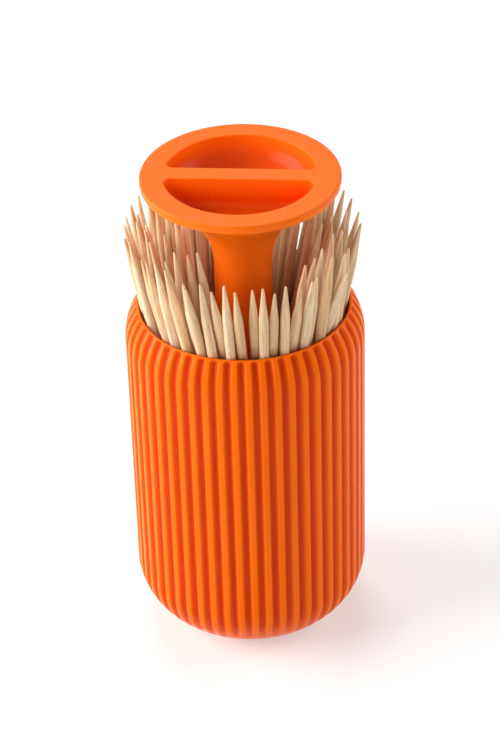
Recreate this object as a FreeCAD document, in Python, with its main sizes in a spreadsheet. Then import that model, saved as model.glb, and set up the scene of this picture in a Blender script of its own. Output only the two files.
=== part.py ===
import FreeCAD, Part
import Sketcher
import math
import os
import random
import re

# Toothpick dispenser: a fluted cup, and a plunger of lid, stem and tray that lifts the toothpicks.
# Millimetres. +Z is up, the origin is on the cup's axis where its base stands, and the front is -Y.
# The plunger is drawn up, as when a toothpick is taken, and the toothpicks lean on the cup's mouth.

# how close two lengths are when they count as the same
NEAR = 1e-3

doc = FreeCAD.newDocument("ToothpickDispenser")
sizes = doc.addObject("Spreadsheet::Sheet", "Sizes")

DRIVING_SIZES = {
    # cup
    "cup_radius": 26.0,
    "cup_height": 81.2,
    "mouth_radius": 22.65,
    "shoulder_start": 73.0,
    "shoulder_radius": 13.4,
    "corner_radius": 14.0,
    "floor_thickness": 2.4,
    "inner_corner_radius": 11.0,
    # flutes of the cup's wall
    "flute_count": 52,
    "flute_radius": 0.75,
    "flute_top_angle": 33.5,
    "flute_foot_angle": 74.0,
    "first_ridge_turn": 0.9,
    # how far the plunger is up
    "lift": 31.6,
    "tray_floor_closed": 5.7,
    # tray
    "tray_thickness": 2.9,
    "tray_rim_radius": 22.25,
    "tray_rim_height": 11.6,
    "tray_corner_radius": 10.6,
    "tray_corner_height": 7.7,
    "tray_inside_radius": 20.3,
    "tray_inside_corner": 7.0,
    "tray_boss_height": 3.0,
    "tray_recess_radius": 5.0,
    "tray_recess_roof": 0.8,
    # soft ring in the tray's groove
    "groove_radius": 21.2,
    "groove_foot": 8.2,
    "groove_width": 2.0,
    "ring_clearance": 0.05,
    "ring_crown": 0.35,
    # lid and stem, heights above the tray's floor
    "stem_radius": 6.2,
    "flare_start": 53.8,
    "flare_radius": 18.0,
    "flare_angle": 54.5,
    "lid_radius": 21.2,
    "lid_top": 75.5,
    "lid_edge": 2.0,
    "lid_edge_rounding": 0.5,
    "recess_radius": 16.2,
    "recess_wall": 0.6,
    "recess_corner": 6.0,
    "bar_width": 4.5,
    "bar_turn": -5.1,
    "bar_root": 0.2,
    "bar_foot_fillet": 1.6,
    "recess_lip_fillet": 0.35,
    "spigot_radius": 3.5,
    "spigot_length": 1.2,
    # screw and washer
    "screw_radius": 1.25,
    "screw_length": 9.5,
    "screw_head_radius": 2.4,
    "screw_head_height": 1.2,
    "screw_slot": 0.6,
    "washer_radius": 3.6,
    "washer_thickness": 0.5,
    "hole_clearance": 0.15,
    # toothpicks
    "pick_length": 65.0,
    "pick_radius": 1.05,
    "pick_taper": 9.0,
    "pick_tip_radius": 0.3,
    "pick_foot_gap": 0.3,
}

for row, (word, number) in enumerate(DRIVING_SIZES.items(), start=1):
    sizes.set(f"A{row}", word)
    sizes.set(f"B{row}", str(number))
    sizes.setAlias(f"B{row}", word)
doc.recompute()


def bound(formula):
    """A formula in the sheet's words, as an expression that other objects can hold."""
    return re.sub(
        r"[a-z]+(_[a-z]+)*",
        lambda word: f"Sizes.{word[0]}" if word[0] in DRIVING_SIZES else word[0],
        formula,
    )


def value(formula):
    """The number that a formula in the sheet's words gives now."""
    number = sizes.evalExpression(bound(formula))
    return float(getattr(number, "Value", number))


def new_body(label):
    """An empty body for one piece."""
    body = doc.addObject("PartDesign::Body", label)
    body.Label = label
    return body


def origin_part(body, role):
    """One of a body's own origin planes or axes."""
    return next(f for f in body.Origin.OriginFeatures if f.Role == role)


def turn_to(piece, degrees):
    """Turn a piece about the upright axis by a formula."""
    piece.setExpression("Placement.Rotation.Angle", bound(f"({degrees}) * 1deg"))


def raise_to(piece, height):
    """Set a piece's height by a formula."""
    piece.setExpression("Placement.Base.z", bound(height))


def new_sketch(body, label, role="XZ_Plane", height=None):
    """An empty sketch on a plane of the body, raised by a formula where one is given."""
    sketch = body.newObject("Sketcher::SketchObject", label)
    sketch.AttachmentSupport = [(origin_part(body, role), "")]
    sketch.MapMode = "FlatFace"
    if height:
        sketch.setExpression("AttachmentOffset.Base.z", bound(height))
    return sketch


def hold(sketch, constraint, formula):
    """Add a dimension and tie it to the sheet."""
    index = sketch.addConstraint(constraint)
    sketch.setExpression(f"Constraints[{index}]", bound(formula))


def draw_outline(sketch, corners):
    """A closed outline through corners (x, y), each a formula.

    A third entry makes the edge that leaves the corner an arc: its centre's x and y and its turn,
    +1 anticlockwise or -1 clockwise.
    """
    points = [FreeCAD.Vector(value(c[0]), value(c[1]), 0) for c in corners]
    up = FreeCAD.Vector(0, 0, 1)
    edges = []
    for i, corner in enumerate(corners):
        start, end = points[i], points[(i + 1) % len(points)]
        if len(corner) == 2:
            edges.append(sketch.addGeometry(Part.LineSegment(start, end), False))
            continue
        centre_x, centre_y, turn = corner[2]
        centre = FreeCAD.Vector(value(centre_x), value(centre_y), 0)
        first, last = (start, end) if turn > 0 else (end, start)
        circle = Part.Circle(centre, up, (start - centre).Length)
        angles = [math.atan2(p.y - centre.y, p.x - centre.x) for p in (first, last)]
        if angles[1] < angles[0]:
            angles[1] += 2 * math.pi
        edges.append(sketch.addGeometry(Part.ArcOfCircle(circle, *angles), False))
    for i, corner in enumerate(corners):
        edge, after = edges[i], edges[(i + 1) % len(edges)]
        starts_here = len(corner) == 2 or corner[2][2] > 0
        next_corner = corners[(i + 1) % len(corners)]
        next_starts = len(next_corner) == 2 or next_corner[2][2] > 0
        ends = (2 if starts_here else 1, 1 if next_starts else 2)
        sketch.addConstraint(Sketcher.Constraint("Coincident", edge, ends[0], after, ends[1]))
        first_end = 1 if starts_here else 2
        x, y = points[i].x, points[i].y
        hold(sketch, Sketcher.Constraint("DistanceX", -1, 1, edge, first_end, x), corner[0])
        hold(sketch, Sketcher.Constraint("DistanceY", -1, 1, edge, first_end, y), corner[1])
        if len(corner) == 3:
            # the arc's two ends and its radius fix it
            centre_x, centre_y, _ = corner[2]
            reach = f"sqrt(({corner[0]} - ({centre_x}))^2 + ({corner[1]} - ({centre_y}))^2)"
            hold(sketch, Sketcher.Constraint("Radius", edge, value(reach)), reach)


def revolve(body, corners):
    """Turn an outline in the body's XZ plane about its Z axis."""
    sketch = new_sketch(body, body.Label + "_outline")
    draw_outline(sketch, corners)
    turned = body.newObject("PartDesign::Revolution", body.Label + "_turned")
    turned.Profile = sketch
    turned.ReferenceAxis = (sketch, ["V_Axis"])
    turned.Angle = 360
    sketch.Visibility = False
    doc.recompute()
    return turned


def draw_circle(sketch, x, radius):
    """A circle on the sketch's x axis."""
    circle = Part.Circle(FreeCAD.Vector(value(x), 0, 0), FreeCAD.Vector(0, 0, 1), value(radius))
    edge = sketch.addGeometry(circle, False)
    sketch.addConstraint(Sketcher.Constraint("PointOnObject", edge, 3, -1))
    hold(sketch, Sketcher.Constraint("DistanceX", -1, 1, edge, 3, value(x)), x)
    hold(sketch, Sketcher.Constraint("Radius", edge, value(radius)), radius)


def draw_hinge_line(sketch, x):
    """A construction line along the sketch's y axis, for a groove to turn about."""
    line = Part.LineSegment(FreeCAD.Vector(value(x), 0, 0), FreeCAD.Vector(value(x), 5, 0))
    edge = sketch.addGeometry(line, True)
    sketch.addConstraint(Sketcher.Constraint("Vertical", edge))
    sketch.addConstraint(Sketcher.Constraint("PointOnObject", edge, 1, -1))
    hold(sketch, Sketcher.Constraint("DistanceX", -1, 1, edge, 1, value(x)), x)
    hold(sketch, Sketcher.Constraint("DistanceY", edge, 1, edge, 2, 5), "5")


def must_cut(body, feature, volume_before):
    """Stop when a cut took nothing away."""
    doc.recompute()
    if not feature.Shape.Volume < volume_before - NEAR:
        raise RuntimeError(f"{feature.Label} of {body.Label} cut nothing")


def bend_flute(body, name, start_height, hinge, angle, upwards):
    """Cut the part of a flute that follows a rounded edge of the cup."""
    before = body.Tip.Shape.Volume
    sketch = new_sketch(body, name + "_section", "XY_Plane", start_height)
    draw_circle(sketch, "cup_radius", "flute_radius")
    draw_hinge_line(sketch, hinge)
    groove = body.newObject("PartDesign::Groove", name)
    groove.Profile = sketch
    groove.ReferenceAxis = (sketch, ["Axis0"])
    groove.setExpression("Angle", bound(angle))
    groove.Reversed = upwards
    sketch.Visibility = False
    must_cut(body, groove, before)
    return groove


def end_flute(body, name, x, height):
    """Round off one end of a flute."""
    ball = body.newObject("PartDesign::SubtractiveSphere", name)
    ball.setExpression("Radius", bound("flute_radius"))
    ball.setExpression("Placement.Base.x", bound(x))
    ball.setExpression("Placement.Base.z", bound(height))
    doc.recompute()
    return ball


def make_cup():
    """The cup: a round-cornered pot with a drawn-in shoulder and flutes from mouth to base."""
    shoulder_centre = "(cup_radius - shoulder_radius)"
    rim = f"{shoulder_centre} + sqrt(shoulder_radius^2 - (cup_height - shoulder_start)^2)"
    base = "(cup_radius - corner_radius)"
    inner_base = "(mouth_radius - inner_corner_radius)"
    inner_corner = "(floor_thickness + inner_corner_radius)"
    body = new_body("ribbed_cup")
    revolve(body, [
        ("0", "0"),
        (base, "0", (base, "corner_radius", 1)),
        ("cup_radius", "corner_radius"),
        ("cup_radius", "shoulder_start", (shoulder_centre, "shoulder_start", 1)),
        (rim, "cup_height"),
        ("mouth_radius", "cup_height"),
        ("mouth_radius", inner_corner, (inner_base, inner_corner, -1)),
        (inner_base, "floor_thickness"),
        ("0", "floor_thickness"),
    ])
    top = bend_flute(body, "flute_shoulder", "shoulder_start", shoulder_centre, "flute_top_angle", True)
    before = body.Tip.Shape.Volume
    sketch = new_sketch(body, "flute_side_section", "XY_Plane", "shoulder_start")
    draw_circle(sketch, "cup_radius", "flute_radius")
    side = body.newObject("PartDesign::Pocket", "flute_side")
    side.Profile = sketch
    side.setExpression("Length", bound("shoulder_start - corner_radius"))
    sketch.Visibility = False
    must_cut(body, side, before)
    foot = bend_flute(body, "flute_corner", "corner_radius", base, "flute_foot_angle", False)
    balls = [
        end_flute(
            body,
            "flute_top_end",
            f"{shoulder_centre} + shoulder_radius * cos(flute_top_angle * 1deg)",
            "shoulder_start + shoulder_radius * sin(flute_top_angle * 1deg)",
        ),
        end_flute(
            body,
            "flute_foot_end",
            f"{base} + corner_radius * cos(flute_foot_angle * 1deg)",
            "corner_radius - corner_radius * sin(flute_foot_angle * 1deg)",
        ),
    ]
    pattern = body.newObject("PartDesign::PolarPattern", "flutes")
    pattern.Originals = [top, side, foot] + balls
    pattern.Axis = (origin_part(body, "Z_Axis"), [""])
    pattern.Angle = 360
    pattern.setExpression("Occurrences", bound("flute_count"))
    body.Tip = pattern
    turn_to(body, "first_ridge_turn + 180 / flute_count")
    return body


TRAY_FLOOR = "tray_floor_closed + lift"


def make_tray():
    """The tray under the toothpicks: a dish that follows the cup's rounded bottom."""
    body = new_body("carrier_tray")
    corner_x = "(tray_rim_radius - tray_corner_radius)"
    inside_x = "(tray_inside_radius - tray_inside_corner)"
    groove_top = "groove_foot + groove_width"
    hole = "screw_radius + hole_clearance"
    socket = "(tray_boss_height - spigot_length)"
    revolve(body, [
        (hole, "-tray_recess_roof"),
        ("tray_recess_radius", "-tray_recess_roof"),
        ("tray_recess_radius", "-tray_thickness"),
        (corner_x, "-tray_thickness", (corner_x, "tray_corner_radius - tray_thickness", 1)),
        ("tray_rim_radius", "tray_corner_radius - tray_thickness"),
        ("tray_rim_radius", "groove_foot"),
        ("groove_radius", "groove_foot"),
        ("groove_radius", groove_top),
        ("tray_rim_radius", groove_top),
        ("tray_rim_radius", "tray_rim_height"),
        ("tray_inside_radius", "tray_rim_height"),
        ("tray_inside_radius", "tray_inside_corner", (inside_x, "tray_inside_corner", -1)),
        (inside_x, "0"),
        ("stem_radius", "0"),
        ("stem_radius", "tray_boss_height"),
        ("spigot_radius", "tray_boss_height"),
        ("spigot_radius", socket),
        (hole, socket),
    ])
    raise_to(body, TRAY_FLOOR)
    return body


def make_friction_ring():
    """The soft ring in the tray's groove, whose rub on the cup's wall holds the plunger up."""
    body = new_body("friction_ring")
    inner = "groove_radius + ring_clearance"
    outer = "mouth_radius - ring_clearance"
    low = "groove_foot + ring_clearance"
    high = "groove_foot + groove_width - ring_clearance"
    revolve(body, [
        (inner, low),
        (f"{outer} - ring_crown", low),
        (outer, f"{low} + ring_crown"),
        (outer, f"{high} - ring_crown"),
        (f"{outer} - ring_crown", high),
        (inner, high),
    ])
    raise_to(body, TRAY_FLOOR)
    return body


def make_screw():
    """The pan-head screw that holds the tray on the stem."""
    body = new_body("tray_screw")
    seat = "(-tray_recess_roof - washer_thickness)"
    turned = revolve(body, [
        ("0", f"{seat} - screw_head_height"),
        ("screw_head_radius * 0.8", f"{seat} - screw_head_height"),
        ("screw_head_radius", f"{seat} - screw_head_height * 0.6"),
        ("screw_head_radius", seat),
        ("screw_radius", seat),
        ("screw_radius", f"{seat} + screw_length - screw_radius"),
        ("0", f"{seat} + screw_length"),
    ])
    before = turned.Shape.Volume
    for name, turn in (("slot_along", 0), ("slot_across", 90)):
        slot = body.newObject("PartDesign::SubtractiveBox", name)
        slot.Placement.Rotation = FreeCAD.Rotation(FreeCAD.Vector(0, 0, 1), turn)
        slot.setExpression("Length", bound("screw_head_radius * 1.2"))
        slot.setExpression("Width", bound("screw_slot"))
        slot.setExpression("Height", bound("screw_head_height * 0.6"))
        along, across = ("x", "y") if turn == 0 else ("y", "x")
        back = "-" if turn == 0 else ""
        slot.setExpression(f"Placement.Base.{along}", bound("-screw_head_radius * 0.6"))
        slot.setExpression(f"Placement.Base.{across}", bound(f"{back}screw_slot / 2"))
        slot.setExpression("Placement.Base.z", bound(f"{seat} - screw_head_height"))
        must_cut(body, slot, before)
        before = slot.Shape.Volume
    raise_to(body, TRAY_FLOOR)
    return body


def make_washer():
    """The flat washer under the screw's head."""
    body = new_body("tray_washer")
    revolve(body, [
        ("screw_radius + hole_clearance", "-tray_recess_roof - washer_thickness"),
        ("washer_radius", "-tray_recess_roof - washer_thickness"),
        ("washer_radius", "-tray_recess_roof"),
        ("screw_radius + hole_clearance", "-tray_recess_roof"),
    ])
    raise_to(body, TRAY_FLOOR)
    return body


def make_lid():
    """The lid, its two finger recesses with the grip bar between them, and the stem, in one piece."""
    body = new_body("lid_handle")
    bend_x = "(stem_radius + flare_radius)"
    bend_end_x = f"{bend_x} - flare_radius * cos(flare_angle * 1deg)"
    bend_end = "flare_start + flare_radius * sin(flare_angle * 1deg)"
    edge_foot = "lid_top - lid_edge"
    rounding_x = "(lid_radius - lid_edge_rounding)"
    pilot_top = "screw_length - tray_recess_roof - washer_thickness + hole_clearance"
    revolve(body, [
        ("screw_radius", "tray_boss_height - spigot_length"),
        ("spigot_radius", "tray_boss_height - spigot_length"),
        ("spigot_radius", "tray_boss_height"),
        ("stem_radius", "tray_boss_height"),
        ("stem_radius", "flare_start", (bend_x, "flare_start", -1)),
        (bend_end_x, bend_end),
        (rounding_x, edge_foot, (rounding_x, f"{edge_foot} + lid_edge_rounding", 1)),
        ("lid_radius", f"{edge_foot} + lid_edge_rounding"),
        ("lid_radius", "lid_top - lid_edge_rounding", (rounding_x, "lid_top - lid_edge_rounding", 1)),
        (rounding_x, "lid_top"),
        ("0", "lid_top"),
        ("0", pilot_top),
        ("screw_radius", pilot_top),
    ])
    before = body.Tip.Shape.Volume
    corner_x = "(recess_radius - recess_corner)"
    depth = "(recess_wall + recess_corner)"
    sketch = new_sketch(body, "recess_outline")
    draw_outline(sketch, [
        ("0", "lid_top"),
        ("0", f"lid_top - {depth}"),
        (corner_x, f"lid_top - {depth}", (corner_x, "lid_top - recess_wall", 1)),
        ("recess_radius", "lid_top - recess_wall"),
        ("recess_radius", "lid_top"),
    ])
    bowl = body.newObject("PartDesign::Groove", "recess_bowl")
    bowl.Profile = sketch
    bowl.ReferenceAxis = (sketch, ["V_Axis"])
    bowl.Angle = 360
    sketch.Visibility = False
    must_cut(body, bowl, before)
    # the bar fills the bowl's middle, and reaches a little into the lid all round
    sketch = new_sketch(body, "bar_outline")
    end = "(recess_radius + bar_root)"
    foot = f"lid_top - {depth} - bar_root"
    shelf = "lid_top - recess_wall"
    draw_outline(sketch, [
        (f"-{end}", "lid_top"),
        (f"-{end}", shelf, (f"-{corner_x}", shelf, 1)),
        (f"-{corner_x}", foot),
        (corner_x, foot, (corner_x, shelf, 1)),
        (end, shelf),
        (end, "lid_top"),
    ])
    bar = body.newObject("PartDesign::Pad", "grip_bar")
    bar.Profile = sketch
    bar.Midplane = True
    bar.setExpression("Length", bound("bar_width"))
    sketch.Visibility = False
    doc.recompute()
    round_edges(body, "bar_foot", "bar_foot_fillet", is_bar_foot)
    round_edges(body, "recess_lip", "recess_lip_fillet", is_recess_lip)
    turn_to(body, "bar_turn")
    raise_to(body, TRAY_FLOOR)
    return body


def is_bar_foot(edge):
    """Whether an edge runs along the foot of one of the bar's sides, in a recess."""
    bounds = edge.BoundBox
    on_side = abs(abs(bounds.Center.y) - value("bar_width / 2")) < NEAR and bounds.YLength < NEAR
    below_top = bounds.Center.z < value("lid_top") - NEAR
    return on_side and below_top and bounds.ZMin > value("lid_top - recess_wall - recess_corner") - NEAR


def is_recess_lip(edge):
    """Whether an edge lies in the lid's top, round a recess."""
    bounds = edge.BoundBox
    at_top = bounds.ZMin > value("lid_top") - NEAR
    return at_top and bounds.XMax < value("lid_radius - 2 * lid_edge_rounding")


def round_edges(body, name, radius, wanted):
    """Fillet the edges of the body's last feature that the test picks out."""
    base = body.Tip
    names = [f"Edge{i}" for i, edge in enumerate(base.Shape.Edges, start=1) if wanted(edge)]
    print(name, len(names), "edges")
    fillet = body.newObject("PartDesign::Fillet", name)
    fillet.Base = (base, names)
    fillet.setExpression("Radius", bound(radius))
    doc.recompute()
    return fillet


def make_pick():
    """One toothpick, pointed at both ends, standing on its foot."""
    body = new_body("toothpick")
    revolve(body, [
        ("0", "0"),
        ("pick_tip_radius", "0"),
        ("pick_radius", "pick_taper"),
        ("pick_radius", "pick_length - pick_taper"),
        ("pick_tip_radius", "pick_length"),
        ("0", "pick_length"),
    ])
    return body


# The sheaf: rings of toothpicks round the stem, from the outermost inwards. Each ring has a count,
# the radius of its tips and of its feet at the front and at the back, and the angle left free at
# each side of the front. At the front the sheaf is thin, its toothpicks lean the most, and their
# feet fan out round the stem. Elsewhere they are swirled: the feet lie round from the tips.
SHEAF_RINGS = [
    {"count": 36, "tips": (27.6, 25.0), "feet": (7.0, 14.2), "free": 0},
    {"count": 28, "tips": (25.8, 21.6), "feet": (8.6, 12.2), "free": 0},
    {"count": 18, "tips": (22.0, 18.2), "feet": (7.6, 10.2), "free": 30},
    {"count": 10, "tips": (18.0, 14.8), "feet": (7.6, 8.6), "free": 40},
    {"count": 4, "tips": (15.0, 12.4), "feet": (7.6, 8.2), "free": 60},
]
SHEAF_SEED = 2
FRONT_SPREAD = 55.0
FAN = 1.6
FAN_SPREAD = 35.0
SWIRL = 26.0
TIP_HEIGHT = 62.3
SETTLE_ROUNDS = 400
LEAN_ROUNDS = 50
LEAST_GAP = 0.08
MOUTH_GAP = 0.25
# A toothpick's lean shrinks in step as the plunger goes down: by this part of itself over a drop
# equal to the height from its foot to the cup's mouth. It then clears the mouth all the way.
LEAN_LOSS = 0.85
# heights above the feet at which neighbours are held apart
LEVELS = (0, 4, 9, 14, 19, 24, 29, 34, 39, 43.6, 48, 52, 56, 59, 62, 64.7)
# steps of the plunger's travel, the ends included, at which neighbours are held apart
TRAVEL_STEPS = 4


class Sheaf:
    """The toothpicks as straight lines, each with a foot (x, y) and a run, its (x, y) lean per length."""

    def __init__(self):
        self.length = value("pick_length")
        self.full = value("pick_radius")
        self.point = value("pick_tip_radius")
        self.taper = value("pick_taper")
        self.mouth = value("cup_height") - value(TRAY_FLOOR) - value("pick_foot_gap")
        self.reach = value("mouth_radius") - self.full - MOUTH_GAP
        self.closed_share = 1 - LEAN_LOSS * value("lift") / self.mouth
        self.feet, self.tops, self.rings = [], [], []
        self.lay_out()

    def lay_out(self):
        """Set every toothpick roughly in its ring, with some scatter."""
        scatter = random.Random(SHEAF_SEED)
        for ring, layout in enumerate(SHEAF_RINGS):
            step = (360 - 2 * layout["free"]) / layout["count"]
            for i in range(layout["count"]):
                turn = layout["free"] + (i + 0.5) * step
                turn = turn - 360 if turn > 180 else turn
                turn += scatter.uniform(-2.2, 2.2)
                front = math.exp(-((turn / FRONT_SPREAD) ** 2))
                fanned = math.exp(-((turn / FAN_SPREAD) ** 2))
                swirl = mix((FAN * turn, SWIRL + scatter.uniform(-7, 7)), fanned)
                tip_radius = mix(layout["tips"], front) + scatter.uniform(-0.8, 0.8)
                foot_radius = mix(layout["feet"], front) + scatter.uniform(-1.2, 1.2) * (1 - fanned)
                foot = from_front(foot_radius, turn + swirl)
                tip = from_front(tip_radius, turn)
                stretch = self.length / TIP_HEIGHT
                self.feet.append(foot)
                self.tops.append([f + (t - f) * stretch for f, t in zip(foot, tip)])
                self.rings.append(ring)

    def radius(self, height):
        """A toothpick's radius at a height above its foot."""
        to_end = min(height, self.length - height)
        if to_end >= self.taper:
            return self.full
        return self.point + (self.full - self.point) * max(to_end, 0) / self.taper

    def pair_leans(self):
        """The mean lean of each pair, once for each of its two toothpicks."""
        leans = []
        for a in range(0, len(self.feet), 2):
            pair = [[t - f for t, f in zip(self.tops[i], self.feet[i])] for i in (a, a + 1)]
            mean = [(p + q) / 2 for p, q in zip(*pair)]
            leans += [mean, mean]
        return leans

    def at(self, i, height, share, lean):
        """Where toothpick i is at a height, when its pair keeps this share of its angle of lean."""
        part = height / self.length
        run = math.hypot(*lean)
        kept = math.tan(share * math.atan(run / self.length)) * self.length / run
        return [
            f + (t - f - (1 - kept) * m) * part
            for f, t, m in zip(self.feet[i], self.tops[i], lean)
        ]

    def push(self, i, height, move):
        """Move toothpick i at a height, its foot and its top each by their part."""
        part = height / self.length
        scale = (1 - part) ** 2 + part**2
        for axis in (0, 1):
            self.feet[i][axis] += move[axis] * (1 - part) / scale
            self.tops[i][axis] += move[axis] * part / scale

    def part_neighbours(self, height, share):
        """Push apart toothpicks that are too close at a height. Returns the worst shortfall."""
        leans = self.pair_leans()
        need = 2 * self.radius(height * 1.03) * 1.045 + LEAST_GAP
        places = [self.at(i, height, share, leans[i]) for i in range(len(self.feet))]
        order = sorted(range(len(places)), key=lambda i: places[i][0])
        worst = 0
        for rank, i in enumerate(order):
            for j in order[rank + 1:]:
                across = places[j][0] - places[i][0]
                if across >= need:
                    break
                along = places[j][1] - places[i][1]
                apart = math.hypot(across, along)
                if apart >= need:
                    continue
                worst = max(worst, need - apart)
                step = 0.51 * (need - apart) / apart
                self.push(i, height, (-across * step, -along * step))
                self.push(j, height, (across * step, along * step))
                places[i] = self.at(i, height, share, leans[i])
                places[j] = self.at(j, height, share, leans[j])
        return worst

    def keep_in_room(self, height, share):
        """Keep toothpicks off the stem and inside the cup's mouth. Returns the worst shortfall."""
        leans = self.pair_leans()
        radius = self.radius(height * 1.03)
        inner = stem_radius_at(height) + radius * 1.03 + LEAST_GAP
        in_cup = height <= self.mouth + 0.1 or share < 0.5
        outer = self.reach if in_cup else math.inf
        if height < value("tray_rim_height"):
            outer = min(outer, dish_radius_at(height) - radius * 1.03 - LEAST_GAP)
        worst = 0
        for i in range(len(self.feet)):
            place = self.at(i, height, share, leans[i])
            distance = math.hypot(*place)
            wanted = min(max(distance, inner), outer)
            worst = max(worst, abs(wanted - distance))
            step = (wanted - distance) / distance
            self.push(i, height, [p * step for p in place])
        return worst

    def lean_on_mouth(self):
        """Draw the outer toothpicks towards the cup's mouth."""
        for i, ring in enumerate(self.rings):
            turn = math.degrees(math.atan2(self.tops[i][0], -self.tops[i][1]))
            if ring == 0 or (ring == 1 and abs(turn) < 35):
                place = self.at(i, self.mouth, 1, (0, 1))
                step = 0.3 * (self.reach - math.hypot(*place)) / math.hypot(*place)
                self.tops[i] = [t + p * step for t, p in zip(self.tops[i], place)]

    def settle(self):
        """Ease the toothpicks apart with the plunger up, down, and at steps between."""
        shares = [1 - (1 - self.closed_share) * i / TRAVEL_STEPS for i in range(TRAVEL_STEPS + 1)]
        for count in range(SETTLE_ROUNDS):
            worst = 0
            for share in shares:
                for height in LEVELS:
                    worst = max(worst, self.part_neighbours(height, share))
                    worst = max(worst, self.keep_in_room(height, share))
            if count < LEAN_ROUNDS:
                self.lean_on_mouth()
            elif worst < 0.01:
                break
        print(f"sheaf settled in {count + 1} rounds, {worst:.3f} mm short of its gaps")


def mix(pair, share):
    """Between a pair's second number, at share 0, and its first, at share 1."""
    return pair[1] + (pair[0] - pair[1]) * share


def from_front(radius, turn):
    """The point at a radius, this many degrees round from the front, anticlockwise from above."""
    return [radius * math.sin(math.radians(turn)), -radius * math.cos(math.radians(turn))]


def stem_radius_at(height):
    """The stem's radius beside a toothpick's point at this height, with its flare under the lid."""
    stem, flare = value("stem_radius"), value("flare_radius")
    up = height + 1 + value("pick_foot_gap") - value("flare_start")
    up = min(up, flare * math.sin(math.radians(value("flare_angle"))))
    return stem if up <= 0 else stem + flare - math.sqrt(flare**2 - up**2)


def dish_radius_at(height):
    """The tray's inside radius beside a toothpick's point at this height."""
    corner = value("tray_inside_corner")
    up = min(height + value("pick_foot_gap"), corner)
    return value("tray_inside_radius") - corner + math.sqrt(corner**2 - (corner - up) ** 2)


def make_pairs(pick):
    """The toothpicks, two neighbours to a piece."""
    sheaf = Sheaf()
    sheaf.settle()
    pick.Visibility = False
    pairs = []
    for number in range(len(sheaf.feet) // 2):
        label = f"toothpick_pair_{number + 1:02d}"
        links = []
        for i in (2 * number, 2 * number + 1):
            link = doc.addObject("App::Link", f"toothpick_{i + 1:03d}")
            link.LinkedObject = pick
            link.LinkTransform = False
            foot = FreeCAD.Vector(*sheaf.feet[i], 0)
            run = FreeCAD.Vector(*sheaf.tops[i], sheaf.length) - foot
            turn = FreeCAD.Rotation(FreeCAD.Vector(0, 0, 1), run)
            link.Placement = FreeCAD.Placement(foot, turn)
            links.append(link)
        pair = doc.addObject("Part::Compound", label)
        pair.Label = label
        pair.Links = links
        raise_to(pair, f"{TRAY_FLOOR} + pick_foot_gap")
        pairs.append(pair)
    return pairs, sheaf


pieces = [make_cup(), make_tray(), make_friction_ring(), make_screw(), make_washer(), make_lid()]
pairs, sheaf = make_pairs(make_pick())
pieces += pairs
doc.recompute()

for thing in doc.Objects:
    if "Invalid" in thing.State or "Error" in thing.State:
        raise RuntimeError(f"{thing.Label} failed: {thing.State}")
for piece in pieces:
    if piece.Shape.isNull() or not piece.Shape.isValid():
        raise RuntimeError(f"{piece.Label} has no valid shape")

os.makedirs("parts", exist_ok=True)
for piece in pieces:
    piece.Shape.exportStep(f"parts/{piece.Label}.step")
    print(f"{piece.Label}: {len(piece.Shape.Solids)} solids, {piece.Shape.Volume:.1f} mm3")
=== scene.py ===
# %% [markdown]
# # A toothpick dispenser
# A fluted cup of orange plastic holds a sheaf of toothpicks. A plunger with a wide lid lifts them:
# its stem stands on a tray under their feet, and when it is up they fan out over the cup's mouth.
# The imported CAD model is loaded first. It is the fixed frame, and each piece made here is placed by
# it and moves with one of its bodies.

# %% Load the frame
import math

import bmesh
import bpy
import numpy as np
from mathutils import Matrix, Vector


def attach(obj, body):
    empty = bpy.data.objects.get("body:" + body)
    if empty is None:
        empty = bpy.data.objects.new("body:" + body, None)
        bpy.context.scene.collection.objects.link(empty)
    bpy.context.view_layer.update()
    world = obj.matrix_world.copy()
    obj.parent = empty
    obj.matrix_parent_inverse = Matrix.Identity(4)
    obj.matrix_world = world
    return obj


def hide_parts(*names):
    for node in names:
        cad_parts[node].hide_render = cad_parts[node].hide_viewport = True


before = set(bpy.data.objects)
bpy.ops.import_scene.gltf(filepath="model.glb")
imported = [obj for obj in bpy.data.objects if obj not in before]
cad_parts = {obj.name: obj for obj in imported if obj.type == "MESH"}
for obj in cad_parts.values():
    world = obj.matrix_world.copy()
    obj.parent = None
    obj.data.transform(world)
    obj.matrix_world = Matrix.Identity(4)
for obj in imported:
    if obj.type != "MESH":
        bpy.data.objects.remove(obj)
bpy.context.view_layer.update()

MM = 0.001


# %% [markdown]
# ## The camera
# The photograph looks down on the dispenser through a long lens, so the outlines hardly converge.
# The camera is put on a circle round a point at half the height, then rolled and turned a little,
# until that point lands on the same pixel as in the photograph. Turning the camera about its own
# axes, rather than shifting the lens, keeps the way in which the uprights lean.

# %% Aim the camera
IMAGE_WIDTH, IMAGE_HEIGHT = 500, 751
FOCAL_PIXELS = 2636.7
TARGET = Vector((0, 0, 50 * MM))
TARGET_PIXEL = (247.73, 417.13)
CAMERA_DISTANCE = 585.98 * MM
CAMERA_HEIGHT_ANGLE = math.radians(35.95)
CAMERA_ROLL = math.radians(-1.763)

lens = bpy.data.cameras.new("camera")
lens.sensor_width = lens.sensor_height = 36
lens.lens = FOCAL_PIXELS / IMAGE_HEIGHT * 36
lens.clip_start = 10 * MM
camera = bpy.data.objects.new("camera", lens)
bpy.context.scene.collection.objects.link(camera)
bpy.context.scene.camera = camera

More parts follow.
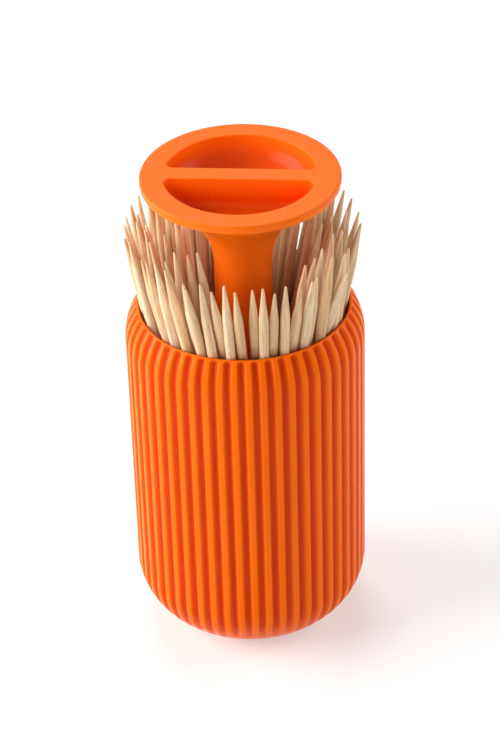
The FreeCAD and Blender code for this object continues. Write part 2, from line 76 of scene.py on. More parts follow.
back = Vector((0, -math.cos(CAMERA_HEIGHT_ANGLE), math.sin(CAMERA_HEIGHT_ANGLE)))
aimed = (-back).to_track_quat("-Z", "Y").to_matrix()
sideways = math.atan((TARGET_PIXEL[0] - IMAGE_WIDTH / 2) / FOCAL_PIXELS)
upwards = math.atan((TARGET_PIXEL[1] - IMAGE_HEIGHT / 2) / FOCAL_PIXELS)
turned = aimed @ Matrix.Rotation(CAMERA_ROLL, 3, "Z")
turned = turned @ Matrix.Rotation(sideways, 3, "Y") @ Matrix.Rotation(upwards, 3, "X")
camera.matrix_world = Matrix.Translation(TARGET + CAMERA_DISTANCE * back) @ turned.to_4x4()
print("camera at", [round(x, 4) for x in camera.location], "lens", round(lens.lens, 1), "mm")

# %% [markdown]
# ## Node wiring
# Materials and Geometry Nodes are both trees of nodes. Two small helpers keep the wiring readable:
# one adds a node and feeds its inputs, by name or by number, and one does arithmetic.

# %% Helpers that wire nodes
def add(tree, kind, feeds=None, **settings):
    """Add a node, set its properties, and feed its inputs with links or with plain values."""
    node = tree.nodes.new(kind)
    for word, setting in settings.items():
        setattr(node, word, setting)
    for key, feed in (feeds or {}).items():
        if isinstance(feed, bpy.types.NodeSocket):
            tree.links.new(feed, node.inputs[key])
        else:
            node.inputs[key].default_value = feed
    return node


def maths(tree, operation, *terms):
    """The result of one arithmetic step on sockets or numbers."""
    return add(tree, "ShaderNodeMath", dict(enumerate(terms)), operation=operation).outputs[0]


def new_geometry_tree(name, inputs):
    """A Geometry Nodes tree with named inputs. Returns it, its input node and its output node."""
    tree = bpy.data.node_groups.new(name, "GeometryNodeTree")
    tree.interface.new_socket("Geometry", in_out="INPUT", socket_type="NodeSocketGeometry")
    for word, kind in inputs.items():
        tree.interface.new_socket(word, in_out="INPUT", socket_type="NodeSocket" + kind)
    tree.interface.new_socket("Geometry", in_out="OUTPUT", socket_type="NodeSocketGeometry")
    return tree, tree.nodes.new("NodeGroupInput"), tree.nodes.new("NodeGroupOutput")


def named(tree, word, kind="FLOAT"):
    """The value of a mesh's attribute in a Geometry Nodes tree."""
    return add(tree, "GeometryNodeInputNamedAttribute", {"Name": word}, data_type=kind).outputs[0]


def socket_key(tree, name):
    """The identifier under which a modifier keeps an input of its tree."""
    for item in tree.interface.items_tree:
        if item.item_type == "SOCKET" and item.in_out == "INPUT" and item.name == name:
            return item.identifier
    raise KeyError(name)


def grow(base, tree, values, name):
    """Run a tree on a base object and keep the result as a plain mesh object."""
    modifier = base.modifiers.new(tree.name, "NODES")
    modifier.node_group = tree
    for word, setting in values.items():
        modifier[socket_key(tree, word)] = setting
    bpy.context.view_layer.update()
    evaluated = base.evaluated_get(bpy.context.evaluated_depsgraph_get())
    mesh = bpy.data.meshes.new_from_object(evaluated)
    base.modifiers.remove(modifier)
    bpy.data.objects.remove(base)
    mesh.name = name
    piece = bpy.data.objects.new(name, mesh)
    bpy.context.scene.collection.objects.link(piece)
    return piece


def new_object(name, mesh):
    """An object for a mesh, in the scene."""
    made = bpy.data.objects.new(name, mesh)
    bpy.context.scene.collection.objects.link(made)
    return made


print("helpers ready")

# %% [markdown]
# ## Orange plastic
# Cup and plunger are moulded in one orange plastic with a satin skin. Thin walls let a little light
# through, which warms the ridges and the lid's rim, so the shader scatters light under its surface.
# The skin is not even: broad, faint clouds show where the plastic flowed, and a very fine grain
# breaks up the highlights. Both patterns read Object coordinates, so they stay put on the piece.
# In the lid's finger recesses light goes from wall to wall and comes out deeper, so shade is painted
# into the colour there. The lid's mesh carries an attribute, `recess`, that says how far in a point
# lies, and the painted shade deepens with it.

# %% A finish for moulded plastic
def new_finish(name):
    """A new material. Returns it, its tree and its surface shader."""
    finish = bpy.data.materials.new(name)
    finish.use_nodes = True
    return finish, finish.node_tree, finish.node_tree.nodes["Principled BSDF"]


def noise(tree, place, scale, detail=3.0, roughness=0.5):
    """A noise pattern's value at a place."""
    feeds = {"Vector": place, "Scale": scale, "Detail": detail, "Roughness": roughness}
    return add(tree, "ShaderNodeTexNoise", feeds).outputs["Fac"]


def spread(tree, pattern, low, high, start=0.3, end=0.7):
    """A pattern's value, stretched to run from low to high."""
    feeds = {0: pattern, 1: start, 2: end, 3: low, 4: high}
    return add(tree, "ShaderNodeMapRange", feeds).outputs[0]


def blend_colours(tree, share, first, second):
    """The first colour at share 0 and the second at share 1."""
    feeds = {0: share, 6: first, 7: second}
    return add(tree, "ShaderNodeMix", feeds, data_type="RGBA").outputs[2]


def moulded_plastic(name, light, deep):
    """Satin plastic whose colour drifts between a lighter and a deeper tone."""
    finish, tree, shader = new_finish(name)
    place = add(tree, "ShaderNodeTexCoord").outputs["Object"]
    clouds = noise(tree, place, scale=55, detail=2)
    streaks = add(tree, "ShaderNodeMapping", {"Vector": place, "Scale": (1, 1, 0.12)}).outputs[0]
    flow = noise(tree, streaks, scale=260)
    broad = spread(tree, clouds, 0, 0.6, start=0.2, end=0.8)
    fine = spread(tree, flow, 0, 0.4, start=0.2, end=0.8)
    tone = maths(tree, "ADD", broad, fine)
    colour = blend_colours(tree, tone, (*deep, 1), (*light, 1))
    grain = noise(tree, place, scale=2600, detail=2, roughness=0.6)
    tree.links.new(colour, shader.inputs["Base Color"])
    satin = spread(tree, flow, 0.23, 0.29, start=0.1, end=0.9)
    tree.links.new(satin, shader.inputs["Roughness"])
    skin = add(tree, "ShaderNodeBump", {"Strength": 0.1, "Distance": 0.03 * MM, "Height": grain})
    tree.links.new(skin.outputs[0], shader.inputs["Normal"])
    shader.inputs["Specular IOR Level"].default_value = 0.10
    shader.inputs["Subsurface Weight"].default_value = 0.15
    shader.inputs["Subsurface Radius"].default_value = (1.0, 0.35, 0.08)
    shader.inputs["Subsurface Scale"].default_value = 1.6 * MM
    return finish, tree, shader, colour


def paint_shade(tree, shader, colour, word, most, shade_colour):
    """Paint shade into a colour by the mesh's attribute of this name: `most` of it where that is 1."""
    noted = add(tree, "ShaderNodeAttribute", attribute_name=word).outputs["Fac"]
    deeper = blend_colours(tree, maths(tree, "MULTIPLY", noted, most), colour, (*shade_colour, 1))
    tree.links.new(deeper, shader.inputs["Base Color"])


plunger_orange, tree, shader, colour = moulded_plastic(
    "plunger_orange", (1.0, 0.175, 0.007), (0.98, 0.150, 0.004)
)
# painted shade: the colour turns a deeper red inside the lid's finger recesses
paint_shade(tree, shader, colour, "recess", most=0.55, shade_colour=(0.74, 0.045, 0.0))
tray_orange, *_ = moulded_plastic("tray_orange", (0.96, 0.165, 0.008), (0.92, 0.135, 0.005))
print("plastics:", plunger_orange.name, tray_orange.name)

# %% [markdown]
# The cup has the same plastic, with one more thing to show. Its ridges are thick and catch the
# light, and its flutes are thin and lie in shade, which is painted into the colour. The cup's mesh
# carries an attribute, `flute`, that is 1 in the bottom of a flute and 0 on a ridge, and the
# painted shade deepens with it.

# %% The cup's plastic
cup_orange, tree, shader, colour = moulded_plastic(
    "cup_orange", (1.0, 0.165, 0.002), (0.98, 0.140, 0.001)
)
# painted shade: the colour turns a deep red in the bottom of each flute
paint_shade(tree, shader, colour, "flute", most=0.85, shade_colour=(0.56, 0.020, 0.0))
print("cup's plastic:", cup_orange.name)

# %% [markdown]
# ## A turned form
# The cup is round, so its wall starts as a turned form: a line of points, each a radius and a
# height, is spun round the upright axis. Where the line meets the axis, one point closes the form.

# %% Spin a line into a closed skin
def turned_mesh(name, line, columns, start_angle=0.0):
    """A mesh made by spinning (radius, height) points. Faces point to the right of the line."""
    vertices, rings = [], []
    for radius, height in line:
        if radius == 0:
            rings.append([len(vertices)])
            vertices.append((0, 0, height))
            continue
        rings.append(list(range(len(vertices), len(vertices) + columns)))
        for column in range(columns):
            angle = start_angle + 2 * math.pi * column / columns
            vertices.append((radius * math.cos(angle), radius * math.sin(angle), height))
    faces = []
    for lower, upper in zip(rings, rings[1:]):
        for i in range(columns):
            j = (i + 1) % columns
            corners = [lower[i % len(lower)], lower[j % len(lower)]]
            corners += [upper[j % len(upper)], upper[i % len(upper)]]
            faces.append(list(dict.fromkeys(corners)))
    mesh = bpy.data.meshes.new(name)
    mesh.from_pydata(vertices, [], faces)
    mesh.validate()
    return mesh


def arc(centre, radius, first, last, steps):
    """Points (radius, height) on an arc, with angles in degrees from level, both ends included."""
    angles = np.radians(np.linspace(first, last, steps + 1))
    return [(centre[0] + radius * math.cos(a), centre[1] + radius * math.sin(a)) for a in angles]


print("turned_mesh and arc ready")

# %% [markdown]
# ## The cup's wall
# The line runs from the middle of the base out round the bottom corner, up the side, over the
# shoulder to the rim, and back down the inside. Rows of points lie close together where the flutes
# end, because the shape changes fast there. At the top each flute ends round, just below the rim.
# At the bottom it runs out: it gets shallower as the wall turns in, and is gone before the base.
# Each point notes how far above a flute's end it is, and what part of the full depth is left.

# %% The cup's outline, and where its flutes end
CUP_RADIUS, CUP_HEIGHT, MOUTH_RADIUS = 26.0 * MM, 81.2 * MM, 22.65 * MM
SHOULDER_START, SHOULDER_RADIUS, CORNER_RADIUS = 73.0 * MM, 13.4 * MM, 14.0 * MM
FLOOR_THICKNESS, INNER_CORNER = 2.4 * MM, 11.0 * MM
FLUTE_COUNT, FLUTE_DEPTH, FLUTE_HALF_WIDTH = 52, 0.80 * MM, 0.94 * MM
RIM_ROUNDING, INSIDE_ROW = 0.28 * MM, 50 * MM
# degrees round the shoulder, and round the bottom corner, at which the flutes end
FLUTE_TOP, RUN_OUT_START, RUN_OUT_END = 33.8, 8.0, 52.0
# how far below a flute's end the close rows start, in half widths of a flute
END_REACH = 1.05
# stands for "well past the end" on the rim, the inside and the base
FAR = 1.0

corner_centre = (CUP_RADIUS - CORNER_RADIUS, CORNER_RADIUS)
shoulder_centre = (CUP_RADIUS - SHOULDER_RADIUS, SHOULDER_START)
rim_angle = math.degrees(math.asin((CUP_HEIGHT - SHOULDER_START) / SHOULDER_RADIUS))
end_top = math.degrees(END_REACH * FLUTE_HALF_WIDTH / SHOULDER_RADIUS)

line = [(0, 0)] + arc(corner_centre, CORNER_RADIUS, -90, -RUN_OUT_END, steps=8)
line += arc(corner_centre, CORNER_RADIUS, -RUN_OUT_END, 0, steps=26)[1:]
side_height = SHOULDER_START - CORNER_RADIUS
line += [(CUP_RADIUS, CORNER_RADIUS + share * side_height) for share in (0.33, 0.67)]
line += arc(shoulder_centre, SHOULDER_RADIUS, 0, FLUTE_TOP - end_top, steps=12)
line += arc(shoulder_centre, SHOULDER_RADIUS, FLUTE_TOP - end_top, rim_angle, steps=18)[1:]
outside_rows = len(line)
rim_edge = (MOUTH_RADIUS + RIM_ROUNDING, CUP_HEIGHT - RIM_ROUNDING)
line += arc(rim_edge, RIM_ROUNDING, 90, 180, steps=4)
inner_centre = (MOUTH_RADIUS - INNER_CORNER, FLOOR_THICKNESS + INNER_CORNER)
line += [(MOUTH_RADIUS, INSIDE_ROW)] + arc(inner_centre, INNER_CORNER, 0, -90, steps=8)
line += [(0, FLOOR_THICKNESS)]


def past_flute_end(row):
    """How far a row lies above the flutes' top end, along the surface."""
    radius, height = line[row]
    if row >= outside_rows or height == 0:
        return FAR
    if height <= SHOULDER_START:
        return 0
    angle = math.degrees(math.atan2(height - SHOULDER_START, radius - shoulder_centre[0]))
    return max(0, math.radians(angle - FLUTE_TOP) * SHOULDER_RADIUS)


def flute_share(row):
    """The part of its full depth that a flute has in a row. It runs out round the bottom corner."""
    radius, height = line[row]
    if height >= CORNER_RADIUS:
        return 1
    angle = math.degrees(math.atan2(CORNER_RADIUS - height, radius - corner_centre[0]))
    gone = (angle - RUN_OUT_START) / (RUN_OUT_END - RUN_OUT_START)
    gone = min(max(gone, 0), 1)
    return 1 - gone * gone * (3 - 2 * gone)


COLUMNS_PER_FLUTE = 16
# where the first ridge stands, in degrees round from +X
FIRST_RIDGE = 0.9
first_flute = math.radians(FIRST_RIDGE + 180 / FLUTE_COUNT)
wall_mesh = turned_mesh("cup_wall", line, FLUTE_COUNT * COLUMNS_PER_FLUTE, first_flute)
for word, rule in (("past_end", past_flute_end), ("run_out", flute_share)):
    noted = []
    for row, (radius, _) in enumerate(line):
        noted += [rule(row)] * (1 if radius == 0 else FLUTE_COUNT * COLUMNS_PER_FLUTE)
    wall_mesh.attributes.new(word, "FLOAT", "POINT").data.foreach_set("value", noted)
cup_base = new_object("cup_base", wall_mesh)
print("cup's outline:", len(line), "rows, faces:", len(wall_mesh.polygons))

# %% [markdown]
# ## The flutes
# The flutes follow one rule all the way round, so Geometry Nodes press them into the smooth wall.
# Each point finds how far it is from the middle of the nearest flute, sideways along the surface
# and, near an end, also lengthways, which makes the ends round. From that distance comes a depth
# with a soft edge, and the point moves inwards by it. Changing the count or the depth in the
# modifier redraws the whole cup, which cutting 52 flutes by hand would not.

# %% A tree that presses flutes into a round wall
def squared(tree, term):
    """A socket's value times itself."""
    return maths(tree, "MULTIPLY", term, term)


FLUTE_ROUNDNESS = 0.85
inputs = {"Count": "Int", "Depth": "Float", "Half Width": "Float", "First Flute": "Float"}
tree, given, result = new_geometry_tree("flutes", inputs | {"Finish": "Material"})
spot = add(tree, "ShaderNodeSeparateXYZ", {0: add(tree, "GeometryNodeInputPosition").outputs[0]})
x, y = spot.outputs[0], spot.outputs[1]
turn = maths(tree, "SUBTRACT", maths(tree, "ARCTAN2", y, x), given.outputs["First Flute"])
pitch = maths(tree, "DIVIDE", 2 * math.pi, given.outputs["Count"])
share = maths(tree, "PINGPONG", maths(tree, "DIVIDE", turn, pitch), 0.5)
radius = maths(tree, "SQRT", maths(tree, "ADD", squared(tree, x), squared(tree, y)))
across = maths(tree, "MULTIPLY", maths(tree, "MULTIPLY", share, pitch), radius)
beyond = named(tree, "past_end")
away = maths(tree, "SQRT", maths(tree, "ADD", squared(tree, across), squared(tree, beyond)))
near = maths(tree, "MINIMUM", maths(tree, "DIVIDE", away, given.outputs["Half Width"]), 1.0)
hollow = maths(tree, "SUBTRACT", 1.0, squared(tree, near))
hollow = maths(tree, "POWER", maths(tree, "MAXIMUM", hollow, 0.0), FLUTE_ROUNDNESS)
hollow = maths(tree, "MULTIPLY", hollow, named(tree, "run_out"))
inwards = maths(tree, "MULTIPLY", maths(tree, "MULTIPLY", hollow, given.outputs["Depth"]), -1.0)
normal = add(tree, "GeometryNodeInputNormal").outputs[0]
offset = add(tree, "ShaderNodeVectorMath", {0: normal, "Scale": inwards}, operation="SCALE").outputs[0]
# the flute's depth share, kept as `flute` for the cup's painted shade
noted = add(
    tree,
    "GeometryNodeStoreNamedAttribute",
    {"Geometry": given.outputs["Geometry"], "Name": "flute", "Value": hollow},
    data_type="FLOAT",
    domain="POINT",
)
pressed = add(tree, "GeometryNodeSetPosition", {"Geometry": noted.outputs[0], "Offset": offset})
smooth = add(tree, "GeometryNodeSetShadeSmooth", {0: pressed.outputs[0]})
plain = add(tree, "GeometryNodeRealizeInstances", {0: smooth.outputs[0]})
feeds = {0: plain.outputs[0], "Material": given.outputs["Finish"]}
painted = add(tree, "GeometryNodeSetMaterial", feeds)
tree.links.new(painted.outputs[0], result.inputs[0])
flute_tree = tree
print("flute tree:", len(tree.nodes), "nodes")

# %% Press the flutes and let the cup stand for its CAD node
cup = grow(
    cup_base,
    flute_tree,
    {
        "Count": FLUTE_COUNT,
        "Depth": FLUTE_DEPTH,
        "Half Width": FLUTE_HALF_WIDTH,
        "First Flute": first_flute,
        "Finish": cup_orange,
    },
    "fluted_cup",
)
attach(cup, "cup")
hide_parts("ribbed_cup")
print("cup:", len(cup.data.polygons), "faces, materials", [m.name for m in cup.data.materials])

# %% [markdown]
# ## The lid and its stem
# Lid, trumpet and stem are one moulding with exact recesses, which the CAD model already has. Its
# mesh is loose triangles, so a copy has its doubles merged, and its faces are shaded smooth with
# flat faces kept flat by weighted normals. The hidden original stays for collision. The lid's copy
# also notes how deep each point lies in a finger recess, for the plastic to read.

# %% A smooth copy of a CAD node
MERGE_DISTANCE, SLIVER_SIZE = 0.001 * MM, 0.0005 * MM
SHARP_ANGLE = math.radians(38)
LID_TOP, RECESS_BOTTOM, RECESS_REACH, RECESS_FADE = 112.8 * MM, 95 * MM, 17 * MM, 4 * MM
FACES_DOWN = -0.2


def smooth_copy(node, name, finish):
    """A merged, smooth-shaded copy of a CAD node, with its own finish."""
    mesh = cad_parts[node].data.copy()
    mesh.name = name
    shape = bmesh.new()
    shape.from_mesh(mesh)
    bmesh.ops.remove_doubles(shape, verts=shape.verts, dist=MERGE_DISTANCE)
    bmesh.ops.dissolve_degenerate(shape, edges=shape.edges, dist=SLIVER_SIZE)
    shape.to_mesh(mesh)
    shape.free()
    mesh.materials.clear()
    mesh.materials.append(finish)
    mesh.shade_smooth()
    mesh.set_sharp_from_angle(angle=SHARP_ANGLE)
    piece = new_object(name, mesh)
    weigh = piece.modifiers.new("even_shading", "WEIGHTED_NORMAL")
    weigh.keep_sharp = True
    return piece


def mark_recesses(mesh):
    """Note on each point how deep it lies in a finger recess: 0 on the lid's top, 1 well inside."""
    shares = []
    for point in mesh.vertices:
        reach = math.hypot(point.co.x, point.co.y)
        inside = reach < RECESS_REACH and point.co.z > RECESS_BOTTOM and point.normal.z > FACES_DOWN
        depth = (LID_TOP - point.co.z) / RECESS_FADE
        shares.append(min(max(depth, 0), 1) if inside else 0)
    mesh.attributes.new("recess", "FLOAT", "POINT").data.foreach_set("value", shares)


plunger = smooth_copy("lid_handle", "lid_and_stem", plunger_orange)
# the recess depth feeds the plunger plastic's painted shade in the finger recesses
mark_recesses(plunger.data)
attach(plunger, "plunger")
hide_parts("lid_handle")
tray = smooth_copy("carrier_tray", "toothpick_tray", tray_orange)
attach(tray, "plunger")
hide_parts("carrier_tray")
print("lid and stem:", len(plunger.data.polygons), "faces; tray:", len(tray.data.polygons), "faces")

# %% [markdown]
# ## Ring, screw and washer
# A soft black ring in the tray's groove rubs on the cup's wall and holds the plunger up, and a
# steel screw with a washer holds the tray on the stem. They show only from below or with the tray
# out, and keep their CAD meshes. Rubber is dull with a fine powdery grain. Steel is metallic, with
# fine turning marks that follow the distance from the axis.

# %% Rubber and steel
rubber, tree, shader = new_finish("ring_rubber")
place = add(tree, "ShaderNodeTexCoord").outputs["Object"]
dust = noise(tree, place, scale=900, detail=4)
black, powdery = (0.010, 0.010, 0.011, 1), (0.028, 0.027, 0.026, 1)
colour = blend_colours(tree, spread(tree, dust, 0, 1), black, powdery)
tree.links.new(colour, shader.inputs["Base Color"])
tree.links.new(spread(tree, dust, 0.55, 0.75), shader.inputs["Roughness"])
bump = add(tree, "ShaderNodeBump", {"Strength": 0.2, "Distance": 0.05 * MM, "Height": dust})
tree.links.new(bump.outputs[0], shader.inputs["Normal"])

steel, tree, shader = new_finish("screw_steel")
place = add(tree, "ShaderNodeTexCoord").outputs["Object"]
rings = add(
    tree,
    "ShaderNodeTexWave",
    {"Vector": place, "Scale": 4000, "Distortion": 0.6, "Detail": 2.0},
    wave_type="RINGS",
    rings_direction="Z",
)
marks = rings.outputs["Fac"]
colour = blend_colours(tree, marks, (0.56, 0.56, 0.58, 1), (0.66, 0.66, 0.67, 1))
tree.links.new(colour, shader.inputs["Base Color"])
tree.links.new(spread(tree, marks, 0.24, 0.36, start=0, end=1), shader.inputs["Roughness"])
shader.inputs["Metallic"].default_value = 1.0

for node, finish in (("friction_ring", rubber), ("tray_screw", steel), ("tray_washer", steel)):
    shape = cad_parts[node].data
    shape.materials.clear()
    shape.materials.append(finish)
print("finished CAD nodes: friction_ring, tray_screw, tray_washer")

# %% [markdown]
# ## Birch
# The toothpicks are turned from pale birch. Its grain runs along each one: long faint streaks,
# darker pores as short dashes, and a tone that differs from one toothpick to the next. The pattern
# has to follow the wood, so it reads two attributes of the mesh: `wood`, the place in the toothpick
# before it was tilted, and `tone`, a random number for each toothpick.

# %% A finish for birch
birch, tree, shader = new_finish("birch")
wood = add(tree, "ShaderNodeAttribute", attribute_name="wood").outputs["Vector"]
tone = add(tree, "ShaderNodeAttribute", attribute_name="tone").outputs["Fac"]
apart = add(tree, "ShaderNodeCombineXYZ", {2: maths(tree, "MULTIPLY", tone, 3.7)}).outputs[0]
own = add(tree, "ShaderNodeVectorMath", {0: wood, 1: apart}, operation="ADD").outputs[0]
along = add(tree, "ShaderNodeMapping", {"Vector": own, "Scale": (1, 1, 0.045)}).outputs[0]
streaks = noise(tree, along, scale=1900, detail=5, roughness=0.6)
short = add(tree, "ShaderNodeMapping", {"Vector": own, "Scale": (1, 1, 0.13)}).outputs[0]
pores = spread(tree, noise(tree, short, scale=5200, detail=2), 0, 1, start=0.60, end=0.72)
patches = noise(tree, own, scale=90, detail=2)
pale = blend_colours(tree, tone, (0.76, 0.50, 0.27, 1), (0.95, 0.79, 0.56, 1))
fibre = spread(tree, streaks, 0, 0.75, start=0.38, end=0.68)
streaked = blend_colours(tree, fibre, pale, (0.56, 0.31, 0.13, 1))
patched = blend_colours(tree, spread(tree, patches, 0, 0.25), streaked, (0.72, 0.49, 0.28, 1))
colour = blend_colours(tree, maths(tree, "MULTIPLY", pores, 0.35), patched, (0.45, 0.27, 0.12, 1))
tree.links.new(colour, shader.inputs["Base Color"])
tree.links.new(spread(tree, streaks, 0.62, 0.78), shader.inputs["Roughness"])
fibres = maths(tree, "SUBTRACT", streaks, maths(tree, "MULTIPLY", pores, 0.4))
relief = add(tree, "ShaderNodeBump", {"Strength": 0.5, "Distance": 0.06 * MM, "Height": fibres})
tree.links.new(relief.outputs[0], shader.inputs["Normal"])
shader.inputs["Subsurface Weight"].default_value = 0.12
shader.inputs["Subsurface Radius"].default_value = (1.0, 0.6, 0.35)
shader.inputs["Subsurface Scale"].default_value = 0.6 * MM
print("wood:", birch.name)

# %% [markdown]
# ## Where the toothpicks stand
# The CAD model holds the toothpicks two by two, each pair a body of its own. Every toothpick is
# straight, so its foot and its tip say everything: they are the middles of its two end faces. The
# loose triangles of a node are merged, walked from face to face into its two solids, and measured.

# %% Read each toothpick's foot and tip from its CAD node
END_DEPTH = 0.01 * MM


def separate_solids(node):
    """The points of each solid in a CAD node, in the same order each time."""
    shape = bmesh.new()
    shape.from_mesh(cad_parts[node].data)
    bmesh.ops.remove_doubles(shape, verts=shape.verts, dist=MERGE_DISTANCE)
    seen, solids = set(), []
    for first in shape.verts:
        if first in seen:
            continue
        seen.add(first)
        front, solid = [first], []
        while front:
            vertex = front.pop()
            solid.append(tuple(vertex.co))
            for edge in vertex.link_edges:
                other = edge.other_vert(vertex)
                if other not in seen:
                    seen.add(other)
                    front.append(other)
        solids.append(np.array(solid))
    shape.free()
    return solids


def foot_and_tip(points):
    """The middles of a straight toothpick's lower and upper end."""
    middle = points.mean(0)
    axis = np.linalg.svd(points - middle)[2][0]
    axis *= np.sign(axis[2])
    heights = (points - middle) @ axis
    return [points[abs(heights - end) < END_DEPTH].mean(0) for end in (heights.min(), heights.max())]


pair_nodes = sorted(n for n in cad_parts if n.startswith("toothpick_pair_"))
sticks = {node: [foot_and_tip(s) for s in separate_solids(node)] for node in pair_nodes}
lengths = [np.linalg.norm(tip - foot) / MM for pair in sticks.values() for foot, tip in pair]
print(len(lengths), "toothpicks from", round(min(lengths), 2), "to", round(max(lengths), 2), "mm long")

# %% [markdown]
# ## One toothpick
# A toothpick is turned from round stock with a long taper at each end. The taper swells gently
# into the full thickness, and the point is blunt. Twelve sides are enough, because smooth shading
# hides them and there are nearly a hundred toothpicks.

# %% Turn one toothpick
PICK_LENGTH, PICK_RADIUS = 65.0 * MM, 1.05 * MM
# how thick the taper is, as (distance from its end, radius) in millimetres
TAPER = [(0.0, 0.12), (0.08, 0.22), (0.8, 0.30), (3.0, 0.50), (6.0, 0.77), (8.4, 0.97), (10.2, 1.05)]
SIDES = 12
half = [(radius * MM, distance * MM) for distance, radius in TAPER]
body = [(0.0, 0.0)] + half + [(PICK_RADIUS, share * PICK_LENGTH) for share in (0.4, 0.6)]
body += [(radius, PICK_LENGTH - height) for radius, height in reversed(half)] + [(0.0, PICK_LENGTH)]
stick_mesh = turned_mesh("stick", body, SIDES)
stick_mesh.shade_smooth()
stick = new_object("stick", stick_mesh)
print("one toothpick:", len(stick_mesh.polygons), "faces")

# %% [markdown]
# ## The sheaf
# Geometry Nodes set the toothpick on points. Each body has two points at the feet of its
# toothpicks, and each point carries the direction in which its toothpick leans. The tree stands a
# toothpick on every point, tilts it, gives it a random turn and tone, and roughens its surface a
# little, since turned wood is never quite round. A seed fixes what is random.

# %% A tree that stands toothpicks on their feet
tree, given, result = new_geometry_tree(
    "sheaf", {"Toothpick": "Object", "Roughness": "Float", "Seed": "Int", "Finish": "Material"}
)
lean = named(tree, "lean", "FLOAT_VECTOR")
tilt = add(tree, "FunctionNodeAlignRotationToVector", {"Vector": lean}, axis="Z").outputs[0]
spin = add(tree, "FunctionNodeRandomValue", {"Seed": given.outputs["Seed"]}, data_type="FLOAT_VECTOR")
spin.inputs[0].default_value = (0, 0, 0)
spin.inputs[1].default_value = (0, 0, 2 * math.pi)
spun = add(tree, "FunctionNodeEulerToRotation", {0: spin.outputs[0]}).outputs[0]
turns = {0: tilt, 1: spun}
turned_by = add(tree, "FunctionNodeRotateRotation", turns, rotation_space="LOCAL").outputs[0]
source = add(tree, "GeometryNodeObjectInfo", {"Object": given.outputs["Toothpick"]})
marked = add(
    tree,
    "GeometryNodeStoreNamedAttribute",
    {
        "Geometry": source.outputs["Geometry"],
        "Name": "wood",
        "Value": add(tree, "GeometryNodeInputPosition").outputs[0],
    },
    data_type="FLOAT_VECTOR",
    domain="POINT",
)
standing = add(
    tree,
    "GeometryNodeInstanceOnPoints",
    {"Points": given.outputs["Geometry"], "Instance": marked.outputs[0], "Rotation": turned_by},
)
chance = add(tree, "FunctionNodeRandomValue", {"Seed": given.outputs["Seed"]}, data_type="FLOAT")
toned = add(
    tree,
    "GeometryNodeStoreNamedAttribute",
    {"Geometry": standing.outputs[0], "Name": "tone"},
    data_type="FLOAT",
    domain="INSTANCE",
)
tree.links.new(next(s for s in chance.outputs if s.enabled), toned.inputs["Value"])
loose = add(tree, "GeometryNodeRealizeInstances", {0: toned.outputs[0]})
place = add(tree, "GeometryNodeInputPosition").outputs[0]
wobble = noise(tree, place, scale=420, detail=2)
swell = maths(tree, "MULTIPLY", maths(tree, "SUBTRACT", wobble, 0.5), given.outputs["Roughness"])
push = add(
    tree,
    "ShaderNodeVectorMath",
    {0: add(tree, "GeometryNodeInputNormal").outputs[0], "Scale": swell},
    operation="SCALE",
)
uneven = add(tree, "GeometryNodeSetPosition", {"Geometry": loose.outputs[0], "Offset": push.outputs[0]})
smooth = add(tree, "GeometryNodeSetShadeSmooth", {0: uneven.outputs[0]})
feeds = {0: smooth.outputs[0], "Material": given.outputs["Finish"]}
painted = add(tree, "GeometryNodeSetMaterial", feeds)
tree.links.new(painted.outputs[0], result.inputs[0])
sheaf_tree = tree
print("sheaf tree:", len(tree.nodes), "nodes")

# %% Stand the toothpicks, one mesh for each body
UNEVENNESS = 0.10 * MM
for number, (node, pair) in enumerate(sticks.items(), start=1):
    points = bpy.data.meshes.new("feet")
    points.from_pydata([tuple(foot) for foot, _ in pair], [], [])
    leans = points.attributes.new("lean", "FLOAT_VECTOR", "POINT")
    leans.data.foreach_set("vector", np.ravel([tip - foot for foot, tip in pair]).astype(np.float32))
    values = {"Toothpick": stick, "Roughness": UNEVENNESS, "Seed": number, "Finish": birch}
    piece = grow(new_object("feet", points), sheaf_tree, values, f"toothpicks_{number:02d}")
    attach(piece, "pair_" + node[-2:])
    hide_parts(node)
bpy.data.objects.remove(stick)
print("toothpicks stand:", number, "bodies,", len(piece.data.polygons), "faces each")

# %% [markdown]
# ## Floor, backdrop and light
# The dispenser stands on white, with a soft shadow. Four soft lamps light it, the strongest on the
# left, and the one in front fills in without a highlight of its own. The floor is pale for the
# lamps. Rays that come from the camera, or by way of a reflection, also see a little glow in it,
# which lifts the lit floor to white and leaves the shadow. The sky is white to the same rays.

# %% The floor
def seen_directly(tree):
    """1 for rays from the camera, a reflection or a clear piece, and 0 for the rest."""
    path = add(tree, "ShaderNodeLightPath").outputs
    seen = maths(tree, "MAXIMUM", path["Is Camera Ray"], path["Is Glossy Ray"])
    return maths(tree, "MAXIMUM", seen, path["Is Transmission Ray"])


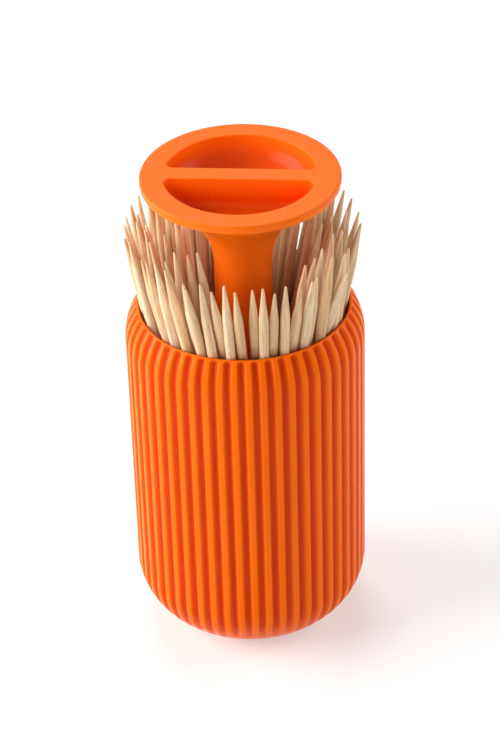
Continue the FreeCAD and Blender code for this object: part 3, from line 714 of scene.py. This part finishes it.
FLOOR_HALF, FLOOR_TONE, FLOOR_GLOW = 3.0, 0.72, 0.35
floor_mesh = bpy.data.meshes.new("floor")
corners = [(-1, -1), (1, -1), (1, 1), (-1, 1)]
floor_mesh.from_pydata([(FLOOR_HALF * x, FLOOR_HALF * y, 0) for x, y in corners], [], [(0, 1, 2, 3)])
floor = new_object("floor", floor_mesh)
floor_white, tree, shader = new_finish("floor_white")
shader.inputs["Base Color"].default_value = (FLOOR_TONE, FLOOR_TONE, FLOOR_TONE, 1)
shader.inputs["Roughness"].default_value = 0.9
shader.inputs["Specular IOR Level"].default_value = 0.0
glow_strength = maths(tree, "MULTIPLY", seen_directly(tree), FLOOR_GLOW)
glow = add(tree, "ShaderNodeEmission", {"Strength": glow_strength})
both = add(tree, "ShaderNodeAddShader", {0: shader.outputs[0], 1: glow.outputs[0]})
tree.links.new(both.outputs[0], tree.nodes["Material Output"].inputs["Surface"])
floor_mesh.materials.append(floor_white)
print("floor:", 2 * FLOOR_HALF, "m wide")

# %% The lamps and the sky
LAMP_TARGET = Vector((0, 0, 60 * MM))


def soft_lamp(name, place, size, power):
    """A square soft lamp that faces the middle of the dispenser."""
    lamp = bpy.data.lights.new(name, "AREA")
    lamp.size = size
    lamp.energy = power
    held = bpy.data.objects.new(name, lamp)
    bpy.context.scene.collection.objects.link(held)
    held.location = place
    held.rotation_euler = (LAMP_TARGET - Vector(place)).to_track_quat("-Z", "Y").to_euler()
    return held


soft_lamp("key_left", (-0.95, -0.06, 0.42), size=0.90, power=17.5)
soft_lamp("side_right", (0.92, 0.15, 0.50), size=0.70, power=4.5)
soft_lamp("over_back", (-0.10, 0.60, 0.90), size=0.50, power=4.0)
fill = soft_lamp("front_fill", (0.15, -1.05, 0.45), size=0.45, power=4.0)
fill.visible_glossy = False

sky = bpy.context.scene.world or bpy.data.worlds.new("sky")
bpy.context.scene.world = sky
sky.use_nodes = True
tree = sky.node_tree
light = tree.nodes["Background"]
light.inputs["Color"].default_value = (1, 1, 1, 1)
SKY_LIGHT = 0.12
level = maths(tree, "ADD", maths(tree, "MULTIPLY", seen_directly(tree), 1 - SKY_LIGHT), SKY_LIGHT)
tree.links.new(level, light.inputs["Strength"])
bpy.context.scene.view_settings.view_transform = "Standard"
